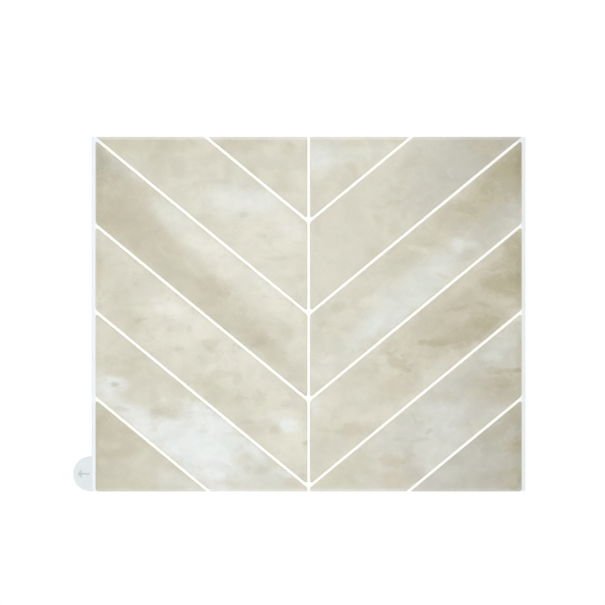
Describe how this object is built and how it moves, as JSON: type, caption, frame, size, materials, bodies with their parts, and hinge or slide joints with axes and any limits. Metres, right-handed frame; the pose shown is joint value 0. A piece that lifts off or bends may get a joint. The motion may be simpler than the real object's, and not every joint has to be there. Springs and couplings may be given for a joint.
{
  "type": "self-adhesive chevron wall tile sheet",
  "caption": "Peel-and-stick wall sheet: glossy stone-look tiles laid in a chevron on a white adhesive film, with a release liner and a half-round peel tab.",
  "frame": {"origin": "middle of the sheet, on the release liner's underside", "axes": "+X to the sheet's right, +Y to its top edge, +Z out of its printed face"},
  "size_m": [0.3024, 0.237, 0.0016],
  "materials": {
    "liner": "satin",
    "film": "satin",
    "tile": "gloss"
  },
  "bodies": {
    "root": {"release_liner": "liner", "backing_film": "film", "tile_left_1": "tile", "tile_left_2": "tile", "tile_left_3": "tile", "tile_left_4": "tile", "tile_left_5": "tile", "tile_left_6": "tile", "tile_right_1": "tile", "tile_right_2": "tile", "tile_right_3": "tile", "tile_right_4": "tile", "tile_right_5": "tile", "tile_right_6": "tile"}
  },
  "joints": []
}
